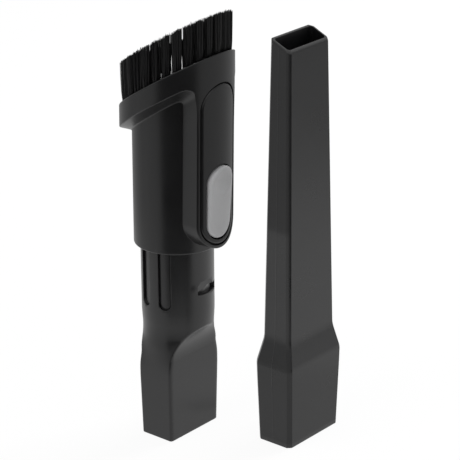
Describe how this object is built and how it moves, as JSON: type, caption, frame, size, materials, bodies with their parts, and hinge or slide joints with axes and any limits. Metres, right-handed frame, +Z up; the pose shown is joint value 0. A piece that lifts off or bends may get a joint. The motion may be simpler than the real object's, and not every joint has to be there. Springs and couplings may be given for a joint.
{
  "type": "vacuum cleaner attachment set",
  "caption": "Dusting brush with a bristled head on a sliding sleeve, locked by a grey rocker button, and a long crevice nozzle, both hollow black plastic with tapered rectangular connectors.",
  "frame": {"origin": "on the floor, at the centre of the set's bounding box seen from above", "axes": "+Z up along both tools; -Y is the side of the brush with the button; X runs along the wide faces of both connectors"},
  "size_m": [0.0856, 0.0922, 0.2352],
  "materials": {
    "black_tube": "satin moulded ABS",
    "black_sleeve": "satin moulded ABS",
    "black_panel": "fine satin",
    "grey_button": "fine sparkle satin",
    "black_nozzle": "fine matte texture",
    "bristle": "nylon filament",
    "steel": "bright drawn wire"
  },
  "bodies": {
    "connector": {"connector_tube": "black_tube"},
    "sleeve": {"brush_sleeve": "black_sleeve", "side_panel": "black_panel", "bristle_ring": "black_sleeve", "pivot_pin": "steel", "return_spring": "steel", "tuft_01": "bristle", "tuft_02": "bristle", "tuft_03": "bristle", "tuft_04": "bristle", "tuft_05": "bristle", "tuft_06": "bristle", "tuft_07": "bristle", "tuft_08": "bristle", "tuft_09": "bristle", "tuft_10": "bristle", "tuft_11": "bristle", "tuft_12": "bristle", "tuft_13": "bristle", "tuft_14": "bristle", "tuft_15": "bristle", "tuft_16": "bristle", "tuft_17": "bristle", "tuft_18": "bristle", "tuft_19": "bristle", "tuft_20": "bristle", "tuft_21": "bristle", "tuft_22": "bristle", "tuft_23": "bristle", "tuft_24": "bristle", "tuft_25": "bristle", "tuft_26": "bristle", "tuft_27": "bristle", "tuft_28": "bristle", "tuft_29": "bristle", "tuft_30": "bristle"},
    "button": {"release_button": "grey_button"},
    "crevice": {"crevice_nozzle": "black_nozzle"}
  },
  "joints": [
    {"name": "sleeve_slide", "type": "slide", "parent": "connector", "child": "sleeve", "axis": [0, 0, 1], "range_m": [-0.033, 0]},
    {"name": "button_press", "type": "hinge", "parent": "sleeve", "child": "button", "pos_m": [-0.01362, -0.00635, 0.136], "axis": [-1, 0, 0], "range_deg": [-4.5, 3.5], "stiffness_Nm_per_rad": 0.05, "deforming": ["return_spring"]},
    {"name": "crevice_lift", "type": "slide", "parent": "connector", "child": "crevice", "axis": [0, 0, 1], "range_m": [0, 0.24]}
  ]
}
